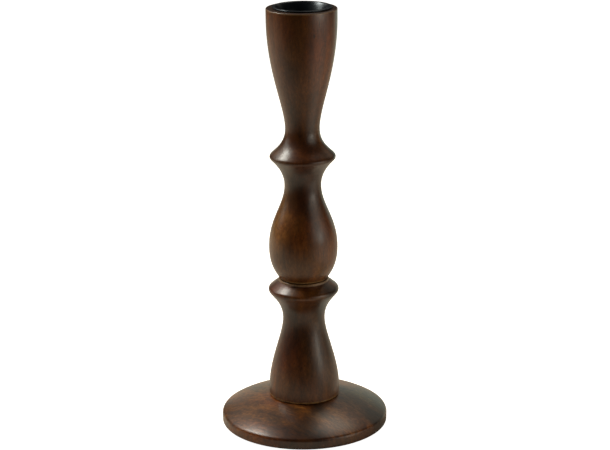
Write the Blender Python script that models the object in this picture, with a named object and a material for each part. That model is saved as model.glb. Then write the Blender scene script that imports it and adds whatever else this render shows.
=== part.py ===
"""Turned wooden candlestick with a loose metal candle cup.

The stand is three turned pieces of wood: a domed base disc, a lower stem and an upper stem.
A screw from beneath clamps the lower stem to the base, a dowel joins the two stem pieces,
and a felt disc closes the underside. The metal cup drops into the bored top of the stem
and lifts straight out. Metres, +Z up, origin on the ground under the stem's axis.
"""

import math

import bmesh
import bpy
from mathutils import Vector
from mathutils.geometry import interpolate_bezier

MM = 0.001

# Driving dimensions of the stack, from the ground up.
FELT_THICKNESS = 0.7 * MM
GLUE_GAP = 0.3 * MM
BASE_HEIGHT = 15.95 * MM
LOWER_HEIGHT = 72.25 * MM
UPPER_HEIGHT = 159.4 * MM
CUP_PROUD = 1.0 * MM

# Each wooden piece's lower face above the ground.
BASE_BOTTOM = FELT_THICKNESS + GLUE_GAP
LOWER_BOTTOM = BASE_BOTTOM + BASE_HEIGHT + GLUE_GAP
UPPER_BOTTOM = LOWER_BOTTOM + LOWER_HEIGHT + GLUE_GAP
RIM_TOP = UPPER_BOTTOM + UPPER_HEIGHT + CUP_PROUD

# A reach is how far a curve runs straight on from its end before it bends; slopes and angles
# are in degrees above or below the horizontal.

# Base disc: heights are above its own underside.
BASE_RADIUS = 49.1 * MM
BASE_FOOT_RADIUS = 49.05 * MM
BASE_FOOT_ROUND = 0.3 * MM
BASE_EDGE_HEIGHT = 4.2 * MM
BASE_EDGE_ROUND = 2.6 * MM
BASE_EDGE_SLOPE = 32
BASE_EDGE_REACH = 10.6 * MM
BASE_SEAT_RADIUS = 20.9 * MM
BASE_SEAT_SLOPE = 10.5
BASE_SEAT_REACH = 7.6 * MM
COUNTERBORE_RADIUS = 8.0 * MM
COUNTERBORE_DEPTH = 6.0 * MM
BASE_HOLE_RADIUS = 2.9 * MM

# Lower stem: heights are above its own lower face.
FOOT_RADIUS = 20.8 * MM
FOOT_TOP = 4.2 * MM
FOOT_ROUND = 0.9 * MM
FOOT_REACH = 16.9 * MM
LOWER_NECK_RADIUS = 12.35 * MM
LOWER_NECK_HEIGHT = 47.5 * MM
LOWER_NECK_REACH_DOWN = 10.5 * MM
LOWER_NECK_REACH_UP = 9.2 * MM
LOWER_RIDGE_RADIUS = 20.6 * MM
LOWER_RIDGE_HEIGHT = 65.4 * MM
LOWER_RIDGE_ROUND = 2.3 * MM
LOWER_RIDGE_UNDER_ANGLE = 56
LOWER_RIDGE_UNDER_REACH = 3.6 * MM
LOWER_RIDGE_OVER_ANGLE = 40
LOWER_RIDGE_OVER_REACH = 2.5 * MM
LEDGE_RADIUS = 14.7 * MM
LEDGE_ROUND = 0.4 * MM
LEDGE_STEP = 1.4 * MM
SHOULDER_ANGLE = 28
SHOULDER_REACH = 2.0 * MM
PILOT_RADIUS = 2.9 * MM
PILOT_DEPTH = 35.0 * MM

# Upper stem: heights are above its own lower face.
SEAM_RADIUS = 14.1 * MM
SEAM_CHAMFER = 0.4 * MM
SEAM_ANGLE = 52
SEAM_REACH = 6.6 * MM
BULB_RADIUS = 20.05 * MM
BULB_HEIGHT = 19.1 * MM
BULB_REACH_DOWN = 8.3 * MM
BULB_REACH_UP = 17.0 * MM
MIDDLE_NECK_RADIUS = 10.7 * MM
MIDDLE_NECK_HEIGHT = 56.05 * MM
MIDDLE_NECK_REACH_DOWN = 12.1 * MM
MIDDLE_NECK_REACH_UP = 8.8 * MM
UPPER_RIDGE_RADIUS = 19.15 * MM
UPPER_RIDGE_HEIGHT = 73.15 * MM
UPPER_RIDGE_ROUND = 1.75 * MM
UPPER_RIDGE_UNDER_ANGLE = 51
UPPER_RIDGE_UNDER_REACH = 2.3 * MM
UPPER_RIDGE_OVER_ANGLE = 60
UPPER_RIDGE_OVER_REACH = 2.6 * MM
VASE_NECK_RADIUS = 10.0 * MM
VASE_NECK_HEIGHT = 89.6 * MM
VASE_NECK_REACH_DOWN = 9.5 * MM
VASE_NECK_REACH_UP = 13.2 * MM
VASE_RADIUS = 20.35 * MM
VASE_HEIGHT = 153.6 * MM
VASE_REACH = 30.5 * MM
LIP_ROUND = 0.6 * MM

# Dowel joint between the stem pieces.
DOWEL_RADIUS = 5.0 * MM
DOWEL_LENGTH = 40.0 * MM
DOWEL_FLUTE_DEPTH = 0.3 * MM
DOWEL_FLUTES = 12
DOWEL_CHAMFER = 1.0 * MM
DOWEL_CLEARANCE = 0.3 * MM

# Candle cup: heights are below the top of its rim.
RIM_RADIUS = 17.0 * MM
RIM_THICKNESS = 0.8 * MM
BOWL_RADIUS = 15.0 * MM
SOCKET_RADIUS = 11.25 * MM
BOWL_DEPTH = 9.6 * MM
CUP_DEPTH = 24.0 * MM
CUP_WALL = 0.6 * MM
CUP_CORNER = 1.6 * MM
CUP_CLEARANCE = 0.65 * MM
CUP_SHIFT = 0.35 * MM
RIM_FILLET = 0.3 * MM
RIM_FLAT_START = 1.1 * MM
BOWL_OUTSIDE_REACH_DOWN = 3.9 * MM
BOWL_OUTSIDE_REACH_UP = 3.2 * MM
BOWL_INSIDE_REACH_UP = 3.6 * MM
HOLLOW_LEAN = 0.4 * MM
HOLLOW_REACH_DOWN = 4.5 * MM
HOLLOW_REACH_UP = 3.5 * MM

# Base screw and washer.
SCREW_LENGTH = 46.0 * MM
SCREW_HEAD_RADIUS = 4.4 * MM
SCREW_HEAD_HEIGHT = 2.6 * MM
SCREW_CORE_RADIUS = 1.6 * MM
SCREW_THREAD_RADIUS = 2.45 * MM
SCREW_SHANK_LENGTH = 14.0 * MM
SCREW_POINT_LENGTH = 6.0 * MM
SCREW_PITCH = 2.6 * MM
SCREW_NECK_FILLET = 0.3 * MM
SCREW_HEAD_EDGE = 1.3 * MM
SCREW_HEAD_ROUND = 0.5 * MM
SCREW_HEAD_FACE_INSET = 1.0 * MM
SCREW_HEAD_ROUND_INSET = 0.25 * MM
THREAD_SHARPNESS = 3.2
RECESS_WIDTH = 0.9 * MM
RECESS_SPAN = 4.6 * MM
RECESS_DEPTH = 1.4 * MM
WASHER_RADIUS = 7.4 * MM
WASHER_HOLE_RADIUS = 2.8 * MM
WASHER_THICKNESS = 1.2 * MM
WASHER_CHAMFER = 0.2 * MM

FELT_RADIUS = 45.0 * MM
FELT_EDGE_ROUND = 0.2 * MM

# How many straight runs each kind of curve is made of.
VASE_STEPS = 10
FLARE_STEPS = 8
DOME_STEPS = 7
BULB_STEPS = 6
RIDGE_STEPS = 5
EDGE_STEPS = 4
CORNER_STEPS = 3
SMALL_STEPS = 2
STEM_SIDES = 32
BASE_SIDES = 48
SCREW_SIDES = 10
THREAD_ROWS_PER_TURN = 5


def clear_scene():
    for item in list(bpy.data.objects):
        bpy.data.objects.remove(item, do_unlink=True)


# ---- outlines, as (radius, height) points ------------------------------------------------


def bend(start, start_handle, end_handle, end, steps):
    """A smooth stretch of outline: a cubic curve between two points, both included."""
    corners = [Vector((*point, 0)) for point in (start, start_handle, end_handle, end)]
    return [(p.x, p.y) for p in interpolate_bezier(*corners, steps + 1)]


def swell(low, low_reach, high_reach, high, steps):
    """An S-shaped stretch that stands upright at both its ends, from the low end up."""
    return bend(low, (low[0], low[1] + low_reach), (high[0], high[1] - high_reach), high, steps)


def arc(centre, radius, start, end, steps):
    """A round stretch about a centre, from one angle to another, in degrees."""
    angles = (math.radians(start + (end - start) * i / steps) for i in range(steps + 1))
    return [(centre[0] + radius * math.cos(a), centre[1] + radius * math.sin(a)) for a in angles]


def toward(point, angle, distance):
    """A point some way off, at an angle above the horizontal in degrees."""
    turn = math.radians(angle)
    return (point[0] + distance * math.cos(turn), point[1] + distance * math.sin(turn))


def joined(*stretches):
    """One outline from several stretches, without the points that repeat at their ends."""
    points = []
    for stretch in stretches:
        for point in stretch:
            if not points or math.dist(point, points[-1]) > 0.001 * MM:
                points.append(point)
    return points


def ridge(neck, neck_reach, crest, crest_round, under_angle, under_reach, over_angle):
    """From a neck up a hollow flare to a collar's rounded crest, as far as its upper side."""
    centre = (crest[0] - crest_round, crest[1])
    crest_arc = arc(centre, crest_round, under_angle - 90, 90 - over_angle, RIDGE_STEPS)
    meet = crest_arc[0]
    flare = bend(
        neck, (neck[0], neck[1] + neck_reach), toward(meet, 180 + under_angle, under_reach), meet,
        RIDGE_STEPS,
    )
    return joined(flare, crest_arc)


# ---- solids ------------------------------------------------------------------------------


def turned(name, outline, sides, material):
    """A solid of revolution about its own Z axis, from a closed outline that runs outward
    along its underside and back in over its top."""
    mesh = bmesh.new()
    corners = [mesh.verts.new((radius, 0, height)) for radius, height in outline]
    edges = [mesh.edges.new(pair) for pair in zip(corners, corners[1:])]
    if outline[0][0] > 0:
        edges.append(mesh.edges.new((corners[-1], corners[0])))
    bmesh.ops.spin(
        mesh, geom=corners + edges, cent=(0, 0, 0), axis=(0, 0, 1),
        angle=math.tau, steps=sides, use_merge=True,
    )
    bmesh.ops.remove_doubles(mesh, verts=mesh.verts, dist=0.002 * MM)
    bmesh.ops.dissolve_degenerate(mesh, edges=mesh.edges, dist=0.001 * MM)
    return finished(name, mesh, material)


def finished(name, mesh, material):
    """Turns a working mesh into a named, smooth-shaded object with its material."""
    bmesh.ops.recalc_face_normals(mesh, faces=mesh.faces)
    data = bpy.data.meshes.new(name)
    mesh.to_mesh(data)
    mesh.free()
    data.materials.append(material)
    data.shade_smooth()
    data.set_sharp_from_angle(angle=math.radians(35))
    item = bpy.data.objects.new(name, data)
    bpy.context.collection.objects.link(item)
    return item


def place(item, parent, height, shift=0.0):
    item.parent = parent
    item.location = (shift, 0, height - parent.location.z)


def pivot(name, height, shift=0.0):
    """An empty that carries the pieces which move together."""
    empty = bpy.data.objects.new(name, None)
    empty.empty_display_size = 20 * MM
    empty.location = (shift, 0, height)
    bpy.context.collection.objects.link(empty)
    return empty


# ---- materials ---------------------------------------------------------------------------


def material(name, colour, roughness, metallic=0.0, coat=0.0):
    surface = bpy.data.materials.new(name)
    surface.use_nodes = True
    shader = surface.node_tree.nodes["Principled BSDF"]
    shader.inputs["Base Color"].default_value = (*colour, 1.0)
    shader.inputs["Roughness"].default_value = roughness
    shader.inputs["Metallic"].default_value = metallic
    shader.inputs["Coat Weight"].default_value = coat
    return surface


# ---- the pieces --------------------------------------------------------------------------


def build_base(wood):
    """Domed disc with a flat seat for the stem, a screw hole and a counterbore below."""
    centre = (BASE_RADIUS - BASE_EDGE_ROUND, BASE_EDGE_HEIGHT)
    edge = arc(centre, BASE_EDGE_ROUND, 0, 90 - BASE_EDGE_SLOPE, EDGE_STEPS)
    seat = (BASE_SEAT_RADIUS, BASE_HEIGHT)
    dome = bend(
        edge[-1], toward(edge[-1], 180 - BASE_EDGE_SLOPE, BASE_EDGE_REACH),
        toward(seat, -BASE_SEAT_SLOPE, BASE_SEAT_REACH), seat, DOME_STEPS,
    )
    side = arc(
        (BASE_FOOT_RADIUS - BASE_FOOT_ROUND, BASE_FOOT_ROUND), BASE_FOOT_ROUND, -90, 0, SMALL_STEPS
    )
    outline = joined(
        [(BASE_HOLE_RADIUS, COUNTERBORE_DEPTH), (COUNTERBORE_RADIUS, COUNTERBORE_DEPTH)],
        [(COUNTERBORE_RADIUS, 0)],
        side, edge, dome,
        [(BASE_HOLE_RADIUS, BASE_HEIGHT)],
    )
    return turned("base", outline, BASE_SIDES, wood)


def build_lower_stem(wood):
    """Flared foot, neck and ridge collar, with a ledge that the upper stem stands on."""
    dowel_floor = LOWER_HEIGHT - DOWEL_LENGTH / 2 - GLUE_GAP
    hole = DOWEL_RADIUS + DOWEL_CLEARANCE
    neck = (LOWER_NECK_RADIUS, LOWER_NECK_HEIGHT)
    ledge_foot = (LEDGE_RADIUS, LOWER_HEIGHT - LEDGE_STEP)
    foot_edge = arc((FOOT_RADIUS - FOOT_ROUND, FOOT_ROUND), FOOT_ROUND, -90, 0, EDGE_STEPS)
    flare = swell((FOOT_RADIUS, FOOT_TOP), FOOT_REACH, LOWER_NECK_REACH_DOWN, neck, FLARE_STEPS)
    collar = ridge(
        neck, LOWER_NECK_REACH_UP, (LOWER_RIDGE_RADIUS, LOWER_RIDGE_HEIGHT), LOWER_RIDGE_ROUND,
        LOWER_RIDGE_UNDER_ANGLE, LOWER_RIDGE_UNDER_REACH, LOWER_RIDGE_OVER_ANGLE,
    )
    shoulder = bend(
        collar[-1], toward(collar[-1], 180 - LOWER_RIDGE_OVER_ANGLE, LOWER_RIDGE_OVER_REACH),
        toward(ledge_foot, -SHOULDER_ANGLE, SHOULDER_REACH), ledge_foot, EDGE_STEPS,
    )
    ledge_centre = (LEDGE_RADIUS - LEDGE_ROUND, LOWER_HEIGHT - LEDGE_ROUND)
    ledge = arc(ledge_centre, LEDGE_ROUND, 0, 90, SMALL_STEPS)
    outline = joined(
        [(0, PILOT_DEPTH), (PILOT_RADIUS, PILOT_DEPTH), (PILOT_RADIUS, 0)],
        foot_edge, flare, collar, shoulder, ledge,
        [(hole, LOWER_HEIGHT), (hole, dowel_floor), (0, dowel_floor)],
    )
    return turned("lower_stem", outline, STEM_SIDES, wood)


def cup_recess():
    """The bored top of the upper stem, from its mouth in to the axis, clear of the cup."""
    rim_height = UPPER_HEIGHT + CUP_PROUD
    mouth = (BOWL_RADIUS + CUP_CLEARANCE, UPPER_HEIGHT)
    bore = SOCKET_RADIUS + CUP_WALL + CUP_CLEARANCE
    step = (bore, rim_height - BOWL_DEPTH - CUP_CLEARANCE)
    floor = rim_height - CUP_DEPTH - CUP_CLEARANCE
    hollow = bend(
        mouth, (mouth[0] - HOLLOW_LEAN, mouth[1] - HOLLOW_REACH_DOWN),
        (bore, step[1] + HOLLOW_REACH_UP), step, RIDGE_STEPS,
    )
    return joined(hollow, [(bore, floor), (0, floor)])


def build_upper_stem(wood):
    """Bulb, neck, ridge collar and vase in one turning, bored at both ends."""
    dowel_ceiling = DOWEL_LENGTH / 2 + GLUE_GAP
    hole = DOWEL_RADIUS + DOWEL_CLEARANCE
    seam = (SEAM_RADIUS, SEAM_CHAMFER)
    belly = (BULB_RADIUS, BULB_HEIGHT)
    middle_neck = (MIDDLE_NECK_RADIUS, MIDDLE_NECK_HEIGHT)
    vase_neck = (VASE_NECK_RADIUS, VASE_NECK_HEIGHT)
    bulb_base = bend(
        seam, toward(seam, SEAM_ANGLE, SEAM_REACH),
        (BULB_RADIUS, BULB_HEIGHT - BULB_REACH_DOWN), belly, BULB_STEPS,
    )
    bulb_top = swell(belly, BULB_REACH_UP, MIDDLE_NECK_REACH_DOWN, middle_neck, FLARE_STEPS)
    collar = ridge(
        middle_neck, MIDDLE_NECK_REACH_UP, (UPPER_RIDGE_RADIUS, UPPER_RIDGE_HEIGHT),
        UPPER_RIDGE_ROUND, UPPER_RIDGE_UNDER_ANGLE, UPPER_RIDGE_UNDER_REACH, UPPER_RIDGE_OVER_ANGLE,
    )
    flare = bend(
        collar[-1], toward(collar[-1], 180 - UPPER_RIDGE_OVER_ANGLE, UPPER_RIDGE_OVER_REACH),
        (VASE_NECK_RADIUS, VASE_NECK_HEIGHT - VASE_NECK_REACH_DOWN), vase_neck, BULB_STEPS,
    )
    vase = swell(vase_neck, VASE_NECK_REACH_UP, VASE_REACH, (VASE_RADIUS, VASE_HEIGHT), VASE_STEPS)
    lip = arc((VASE_RADIUS - LIP_ROUND, UPPER_HEIGHT - LIP_ROUND), LIP_ROUND, 0, 90, EDGE_STEPS)
    outline = joined(
        [(0, dowel_ceiling), (hole, dowel_ceiling), (hole, 0)],
        [(SEAM_RADIUS - SEAM_CHAMFER, 0)],
        bulb_base, bulb_top, collar, flare, vase, lip, cup_recess(),
    )
    return turned("upper_stem", outline, STEM_SIDES, wood)


def build_candle_cup(metal):
    """Thin metal cup: rolled rim, hollow drip bowl, straight socket and flat floor.
    Its origin is on its axis at the top of the rim."""
    roll = RIM_THICKNESS / 2
    outer_wall = SOCKET_RADIUS + CUP_WALL
    inner_bowl = BOWL_RADIUS - CUP_WALL
    step_outside = (outer_wall, -BOWL_DEPTH)
    step_inside = (SOCKET_RADIUS, -BOWL_DEPTH)
    under_rim = (BOWL_RADIUS, -RIM_THICKNESS - RIM_FILLET)
    over_rim = (inner_bowl + RIM_FLAT_START, 0)
    floor = CUP_WALL - CUP_DEPTH
    outside = joined(
        [(0, -CUP_DEPTH)],
        arc((outer_wall - CUP_CORNER, CUP_CORNER - CUP_DEPTH), CUP_CORNER, -90, 0, CORNER_STEPS),
        bend(
            step_outside, (outer_wall, BOWL_OUTSIDE_REACH_UP - BOWL_DEPTH),
            (BOWL_RADIUS - RIM_FILLET, under_rim[1] - BOWL_OUTSIDE_REACH_DOWN), under_rim, RIDGE_STEPS,
        ),
        [(BOWL_RADIUS + RIM_FILLET, -RIM_THICKNESS)],
    )
    rim = arc((RIM_RADIUS - roll, -roll), roll, -90, 90, RIDGE_STEPS)
    inside = joined(
        bend(
            over_rim, (inner_bowl + RIM_FILLET, 0), (SOCKET_RADIUS, BOWL_INSIDE_REACH_UP - BOWL_DEPTH),
            step_inside, DOME_STEPS,
        ),
        arc((SOCKET_RADIUS - CUP_CORNER, floor + CUP_CORNER), CUP_CORNER, 0, -90, CORNER_STEPS),
        [(0, floor)],
    )
    return turned("candle_cup", joined(outside, rim, inside), STEM_SIDES, metal)


def build_stem_dowel(wood):
    """Fluted dowel with chamfered ends, centred on its own origin."""
    half = DOWEL_LENGTH / 2
    shoulder = half - DOWEL_CHAMFER
    mesh = bmesh.new()
    rows = []
    for height in (-half, -shoulder, shoulder, half):
        inset = DOWEL_CHAMFER if abs(height) == half else 0
        row = []
        for i in range(2 * DOWEL_FLUTES):
            radius = DOWEL_RADIUS - inset - (DOWEL_FLUTE_DEPTH if i % 2 else 0)
            angle = math.tau * i / (2 * DOWEL_FLUTES)
            row.append(mesh.verts.new((radius * math.cos(angle), radius * math.sin(angle), height)))
        rows.append(row)
    skin_rows(mesh, rows)
    mesh.faces.new(rows[0])
    mesh.faces.new(rows[-1])
    return finished("stem_dowel", mesh, wood)


def skin_rows(mesh, rows):
    """Faces between each closed row of corners and the next."""
    for lower, upper in zip(rows, rows[1:]):
        for i, corner in enumerate(lower):
            beside = (i + 1) % len(lower)
            mesh.faces.new((corner, lower[beside], upper[beside], upper[i]))


def thread_radius(height, angle):
    """The screw's surface radius at a height above its head and an angle about its axis."""
    thread_start = SCREW_SHANK_LENGTH
    point_start = SCREW_LENGTH - SCREW_POINT_LENGTH
    fade_in = min(max((height - thread_start) / SCREW_PITCH, 0), 1)
    taper = min(max((SCREW_LENGTH - height) / SCREW_POINT_LENGTH, 0), 1)
    phase = (height / SCREW_PITCH - angle / math.tau) % 1
    crest = max(0, 1 - abs(phase - 0.5) * THREAD_SHARPNESS)
    depth = (SCREW_THREAD_RADIUS - SCREW_CORE_RADIUS) * fade_in
    narrowing = taper if height > point_start else 1
    return (SCREW_CORE_RADIUS + depth * crest) * narrowing


def build_base_screw(steel):
    """Wood screw, point up, with its origin at the bearing face under its pan head."""
    mesh = bmesh.new()
    head = [
        (SCREW_HEAD_RADIUS - SCREW_HEAD_FACE_INSET, -SCREW_HEAD_HEIGHT),
        (SCREW_HEAD_RADIUS - SCREW_HEAD_ROUND_INSET, SCREW_HEAD_ROUND - SCREW_HEAD_HEIGHT),
        (SCREW_HEAD_RADIUS, SCREW_HEAD_EDGE - SCREW_HEAD_HEIGHT),
        (SCREW_HEAD_RADIUS, 0),
        (SCREW_CORE_RADIUS + SCREW_NECK_FILLET, 0),
        (SCREW_CORE_RADIUS, SCREW_NECK_FILLET),
    ]
    step = SCREW_PITCH / THREAD_ROWS_PER_TURN
    thread_rows = int((SCREW_LENGTH - SCREW_SHANK_LENGTH) / step)
    heights = [SCREW_SHANK_LENGTH + i * step for i in range(thread_rows)]
    rows = [[(radius, height)] * SCREW_SIDES for radius, height in head]
    for height in heights:
        angles = [math.tau * i / SCREW_SIDES for i in range(SCREW_SIDES)]
        rows.append([(thread_radius(height, angle), height) for angle in angles])
    corners = []
    for row in rows:
        ring = []
        for i, (radius, height) in enumerate(row):
            angle = math.tau * i / SCREW_SIDES
            ring.append(mesh.verts.new((radius * math.cos(angle), radius * math.sin(angle), height)))
        corners.append(ring)
    skin_rows(mesh, corners)
    mesh.faces.new(corners[0])
    tip = mesh.verts.new((0, 0, SCREW_LENGTH))
    for i, corner in enumerate(corners[-1]):
        mesh.faces.new((corner, corners[-1][(i + 1) % SCREW_SIDES], tip))
    screw = finished("base_screw", mesh, steel)
    cut_cross_recess(screw)
    return screw


def cut_cross_recess(screw):
    """Cuts the crossed driver slots into the underside of the screw's head."""
    for index, (along, across) in enumerate(((RECESS_SPAN, RECESS_WIDTH), (RECESS_WIDTH, RECESS_SPAN))):
        mesh = bmesh.new()
        bmesh.ops.create_cube(mesh, size=1.0)
        bmesh.ops.scale(mesh, vec=(along, across, 2 * RECESS_DEPTH), verts=mesh.verts)
        cutter = finished(f"recess_cutter_{index}", mesh, screw.data.materials[0])
        cutter.location = (0, 0, -SCREW_HEAD_HEIGHT)
        cutter.parent = screw
        cutter.hide_render = True
        cutter.display_type = "WIRE"
        cut = screw.modifiers.new(f"recess_{index}", "BOOLEAN")
        cut.operation = "DIFFERENCE"
        cut.object = cutter


def build_base_washer(steel):
    """Flat ring, with its origin at its lower face."""
    outline = [
        (WASHER_HOLE_RADIUS, 0),
        (WASHER_RADIUS, 0),
        (WASHER_RADIUS, WASHER_THICKNESS - WASHER_CHAMFER),
        (WASHER_RADIUS - WASHER_CHAMFER, WASHER_THICKNESS),
        (WASHER_HOLE_RADIUS, WASHER_THICKNESS),
    ]
    return turned("base_washer", outline, STEM_SIDES, steel)


def build_felt_pad(felt):
    """Disc under the base, with softly rounded edges."""
    middle = FELT_RADIUS - FELT_EDGE_ROUND
    low = arc((middle, FELT_EDGE_ROUND), FELT_EDGE_ROUND, -90, 0, SMALL_STEPS)
    high = arc((middle, FELT_THICKNESS - FELT_EDGE_ROUND), FELT_EDGE_ROUND, 0, 90, SMALL_STEPS)
    outline = joined([(0, 0)], low, high, [(0, FELT_THICKNESS)])
    return turned("felt_pad", outline, BASE_SIDES, felt)


def build_candlestick():
    clear_scene()
    walnut = material("walnut_lacquer", (0.055, 0.025, 0.013), 0.38, coat=0.3)
    black_metal = material("black_metal", (0.010, 0.010, 0.012), 0.35, metallic=0.6)
    beech = material("beech", (0.56, 0.36, 0.20), 0.6)
    steel = material("zinc_steel", (0.62, 0.62, 0.60), 0.35, metallic=1.0)
    felt = material("black_felt", (0.018, 0.017, 0.016), 0.95)

    stand = pivot("stand", 0)
    cup_lift = pivot("cup_lift", RIM_TOP, CUP_SHIFT)
    washer_bottom = BASE_BOTTOM + COUNTERBORE_DEPTH - GLUE_GAP - WASHER_THICKNESS

    place(build_felt_pad(felt), stand, 0)
    place(build_base(walnut), stand, BASE_BOTTOM)
    place(build_base_washer(steel), stand, washer_bottom)
    place(build_base_screw(steel), stand, washer_bottom - GLUE_GAP)
    place(build_lower_stem(walnut), stand, LOWER_BOTTOM)
    place(build_stem_dowel(beech), stand, UPPER_BOTTOM - GLUE_GAP / 2)
    place(build_upper_stem(walnut), stand, UPPER_BOTTOM)
    place(build_candle_cup(black_metal), cup_lift, RIM_TOP)


build_candlestick()
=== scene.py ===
"""Looks of the turned wooden candlestick: stained wood, black cup, fittings, felt and a studio.

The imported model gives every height, the outer radii and the places of the pieces. The turned
pieces are made again here with fine, smooth outlines, and every material is worked out from
solid patterns.
"""

import math

import bmesh
import bpy
from mathutils import Matrix, Vector
from mathutils.geometry import interpolate_bezier


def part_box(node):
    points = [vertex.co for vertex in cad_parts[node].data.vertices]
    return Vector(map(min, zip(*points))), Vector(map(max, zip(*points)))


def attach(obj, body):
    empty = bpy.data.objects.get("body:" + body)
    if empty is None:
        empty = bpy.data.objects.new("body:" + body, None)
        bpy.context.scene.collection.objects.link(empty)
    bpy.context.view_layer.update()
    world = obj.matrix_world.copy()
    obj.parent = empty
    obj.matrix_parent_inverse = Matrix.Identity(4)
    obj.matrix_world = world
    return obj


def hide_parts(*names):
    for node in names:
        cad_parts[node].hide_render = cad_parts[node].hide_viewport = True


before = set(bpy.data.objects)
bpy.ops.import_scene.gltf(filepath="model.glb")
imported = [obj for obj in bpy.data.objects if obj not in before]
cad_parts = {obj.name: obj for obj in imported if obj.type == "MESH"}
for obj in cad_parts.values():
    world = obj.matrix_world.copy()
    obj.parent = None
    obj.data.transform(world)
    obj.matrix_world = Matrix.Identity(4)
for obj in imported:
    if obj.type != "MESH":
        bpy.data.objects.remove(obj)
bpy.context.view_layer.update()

MM = 0.001

# A reach is how far a curve runs straight on from its end before it bends; slopes and angles
# are in degrees above or below the horizontal.

# Base disc: heights are above its own underside.
BASE_FOOT_RADIUS = 49.05 * MM
BASE_FOOT_ROUND = 0.3 * MM
BASE_EDGE_HEIGHT = 4.2 * MM
BASE_EDGE_ROUND = 2.6 * MM
BASE_EDGE_SLOPE = 32
BASE_EDGE_REACH = 10.6 * MM
BASE_SEAT_RADIUS = 20.9 * MM
BASE_SEAT_SLOPE = 10.5
BASE_SEAT_REACH = 7.6 * MM
COUNTERBORE_RADIUS = 8.0 * MM
COUNTERBORE_DEPTH = 6.0 * MM
BASE_HOLE_RADIUS = 2.9 * MM

# Lower stem: heights are above its own lower face.
FOOT_TOP = 4.2 * MM
FOOT_ROUND = 0.9 * MM
FOOT_REACH = 16.9 * MM
LOWER_NECK_RADIUS = 12.35 * MM
LOWER_NECK_HEIGHT = 47.5 * MM
LOWER_NECK_REACH_DOWN = 10.5 * MM
LOWER_NECK_REACH_UP = 9.2 * MM
LOWER_RIDGE_RADIUS = 20.6 * MM
LOWER_RIDGE_HEIGHT = 65.4 * MM
LOWER_RIDGE_ROUND = 2.3 * MM
LOWER_RIDGE_UNDER_ANGLE = 56
LOWER_RIDGE_UNDER_REACH = 3.6 * MM
LOWER_RIDGE_OVER_ANGLE = 40
LOWER_RIDGE_OVER_REACH = 2.5 * MM
LEDGE_RADIUS = 14.7 * MM
LEDGE_ROUND = 0.4 * MM
LEDGE_STEP = 1.4 * MM
SHOULDER_ANGLE = 28
SHOULDER_REACH = 2.0 * MM
PILOT_RADIUS = 2.9 * MM
PILOT_DEPTH = 35.0 * MM

# Upper stem: heights are above its own lower face.
SEAM_RADIUS = 14.1 * MM
SEAM_CHAMFER = 0.4 * MM
SEAM_ANGLE = 52
SEAM_REACH = 6.6 * MM
BULB_RADIUS = 20.05 * MM
BULB_HEIGHT = 19.1 * MM
BULB_REACH_DOWN = 8.3 * MM
BULB_REACH_UP = 17.0 * MM
MIDDLE_NECK_RADIUS = 10.7 * MM
MIDDLE_NECK_HEIGHT = 56.05 * MM
MIDDLE_NECK_REACH_DOWN = 12.1 * MM
MIDDLE_NECK_REACH_UP = 8.8 * MM
UPPER_RIDGE_RADIUS = 19.15 * MM
UPPER_RIDGE_HEIGHT = 73.15 * MM
UPPER_RIDGE_ROUND = 1.75 * MM
UPPER_RIDGE_UNDER_ANGLE = 51
UPPER_RIDGE_UNDER_REACH = 2.3 * MM
UPPER_RIDGE_OVER_ANGLE = 60
UPPER_RIDGE_OVER_REACH = 2.6 * MM
VASE_NECK_RADIUS = 10.0 * MM
VASE_NECK_HEIGHT = 89.6 * MM
VASE_NECK_REACH_DOWN = 9.5 * MM
VASE_NECK_REACH_UP = 13.2 * MM
VASE_HEIGHT = 153.6 * MM
VASE_REACH = 30.5 * MM
LIP_ROUND = 0.6 * MM

# Dowel hole in both stem pieces.
DOWEL_HOLE_RADIUS = 5.3 * MM
DOWEL_HOLE_DEPTH = 20.3 * MM

# Candle cup: heights are below the top of its rim.
RIM_THICKNESS = 0.8 * MM
BOWL_RADIUS = 15.0 * MM
SOCKET_RADIUS = 11.25 * MM
BOWL_DEPTH = 9.6 * MM
CUP_WALL = 0.6 * MM
CUP_CORNER = 1.6 * MM
CUP_CLEARANCE = 0.65 * MM
RIM_FILLET = 0.3 * MM
RIM_FLAT_START = 1.1 * MM
BOWL_OUTSIDE_REACH_DOWN = 3.9 * MM
BOWL_OUTSIDE_REACH_UP = 3.2 * MM
BOWL_INSIDE_REACH_UP = 3.6 * MM
HOLLOW_LEAN = 0.4 * MM
HOLLOW_REACH_DOWN = 4.5 * MM
HOLLOW_REACH_UP = 3.5 * MM

FELT_EDGE_ROUND = 0.2 * MM

# Sides of the turned solids round their axis, steps along long, short and tight curves, the
# least angle in degrees of an edge that stays sharp, and how near two points count as one.
SIDES = 224
LONG = 30
SHORT = 12
TIGHT = 6
SHARP_ANGLE = 35
SAME_POINT = 0.001 * MM
SAME_LEVEL = 0.01 * MM


# ---- outlines, as (radius, height) points ------------------------------------------------


def bend(start, start_handle, end_handle, end, steps):
    """A smooth stretch of outline: a cubic curve between two points, both included."""
    corners = [Vector((*point, 0)) for point in (start, start_handle, end_handle, end)]
    return [(p.x, p.y) for p in interpolate_bezier(*corners, steps + 1)]


def swell(low, low_reach, high_reach, high):
    """An S-shaped stretch that stands upright at both its ends, from the low end up."""
    return bend(low, (low[0], low[1] + low_reach), (high[0], high[1] - high_reach), high, LONG)


def arc(centre, radius, start, end, steps=TIGHT):
    """A round stretch about a centre, from one angle to another, in degrees."""
    angles = (math.radians(start + (end - start) * i / steps) for i in range(steps + 1))
    return [(centre[0] + radius * math.cos(a), centre[1] + radius * math.sin(a)) for a in angles]


def toward(point, angle, distance):
    """A point some way off, at an angle above the horizontal in degrees."""
    turn = math.radians(angle)
    return (point[0] + distance * math.cos(turn), point[1] + distance * math.sin(turn))


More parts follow.
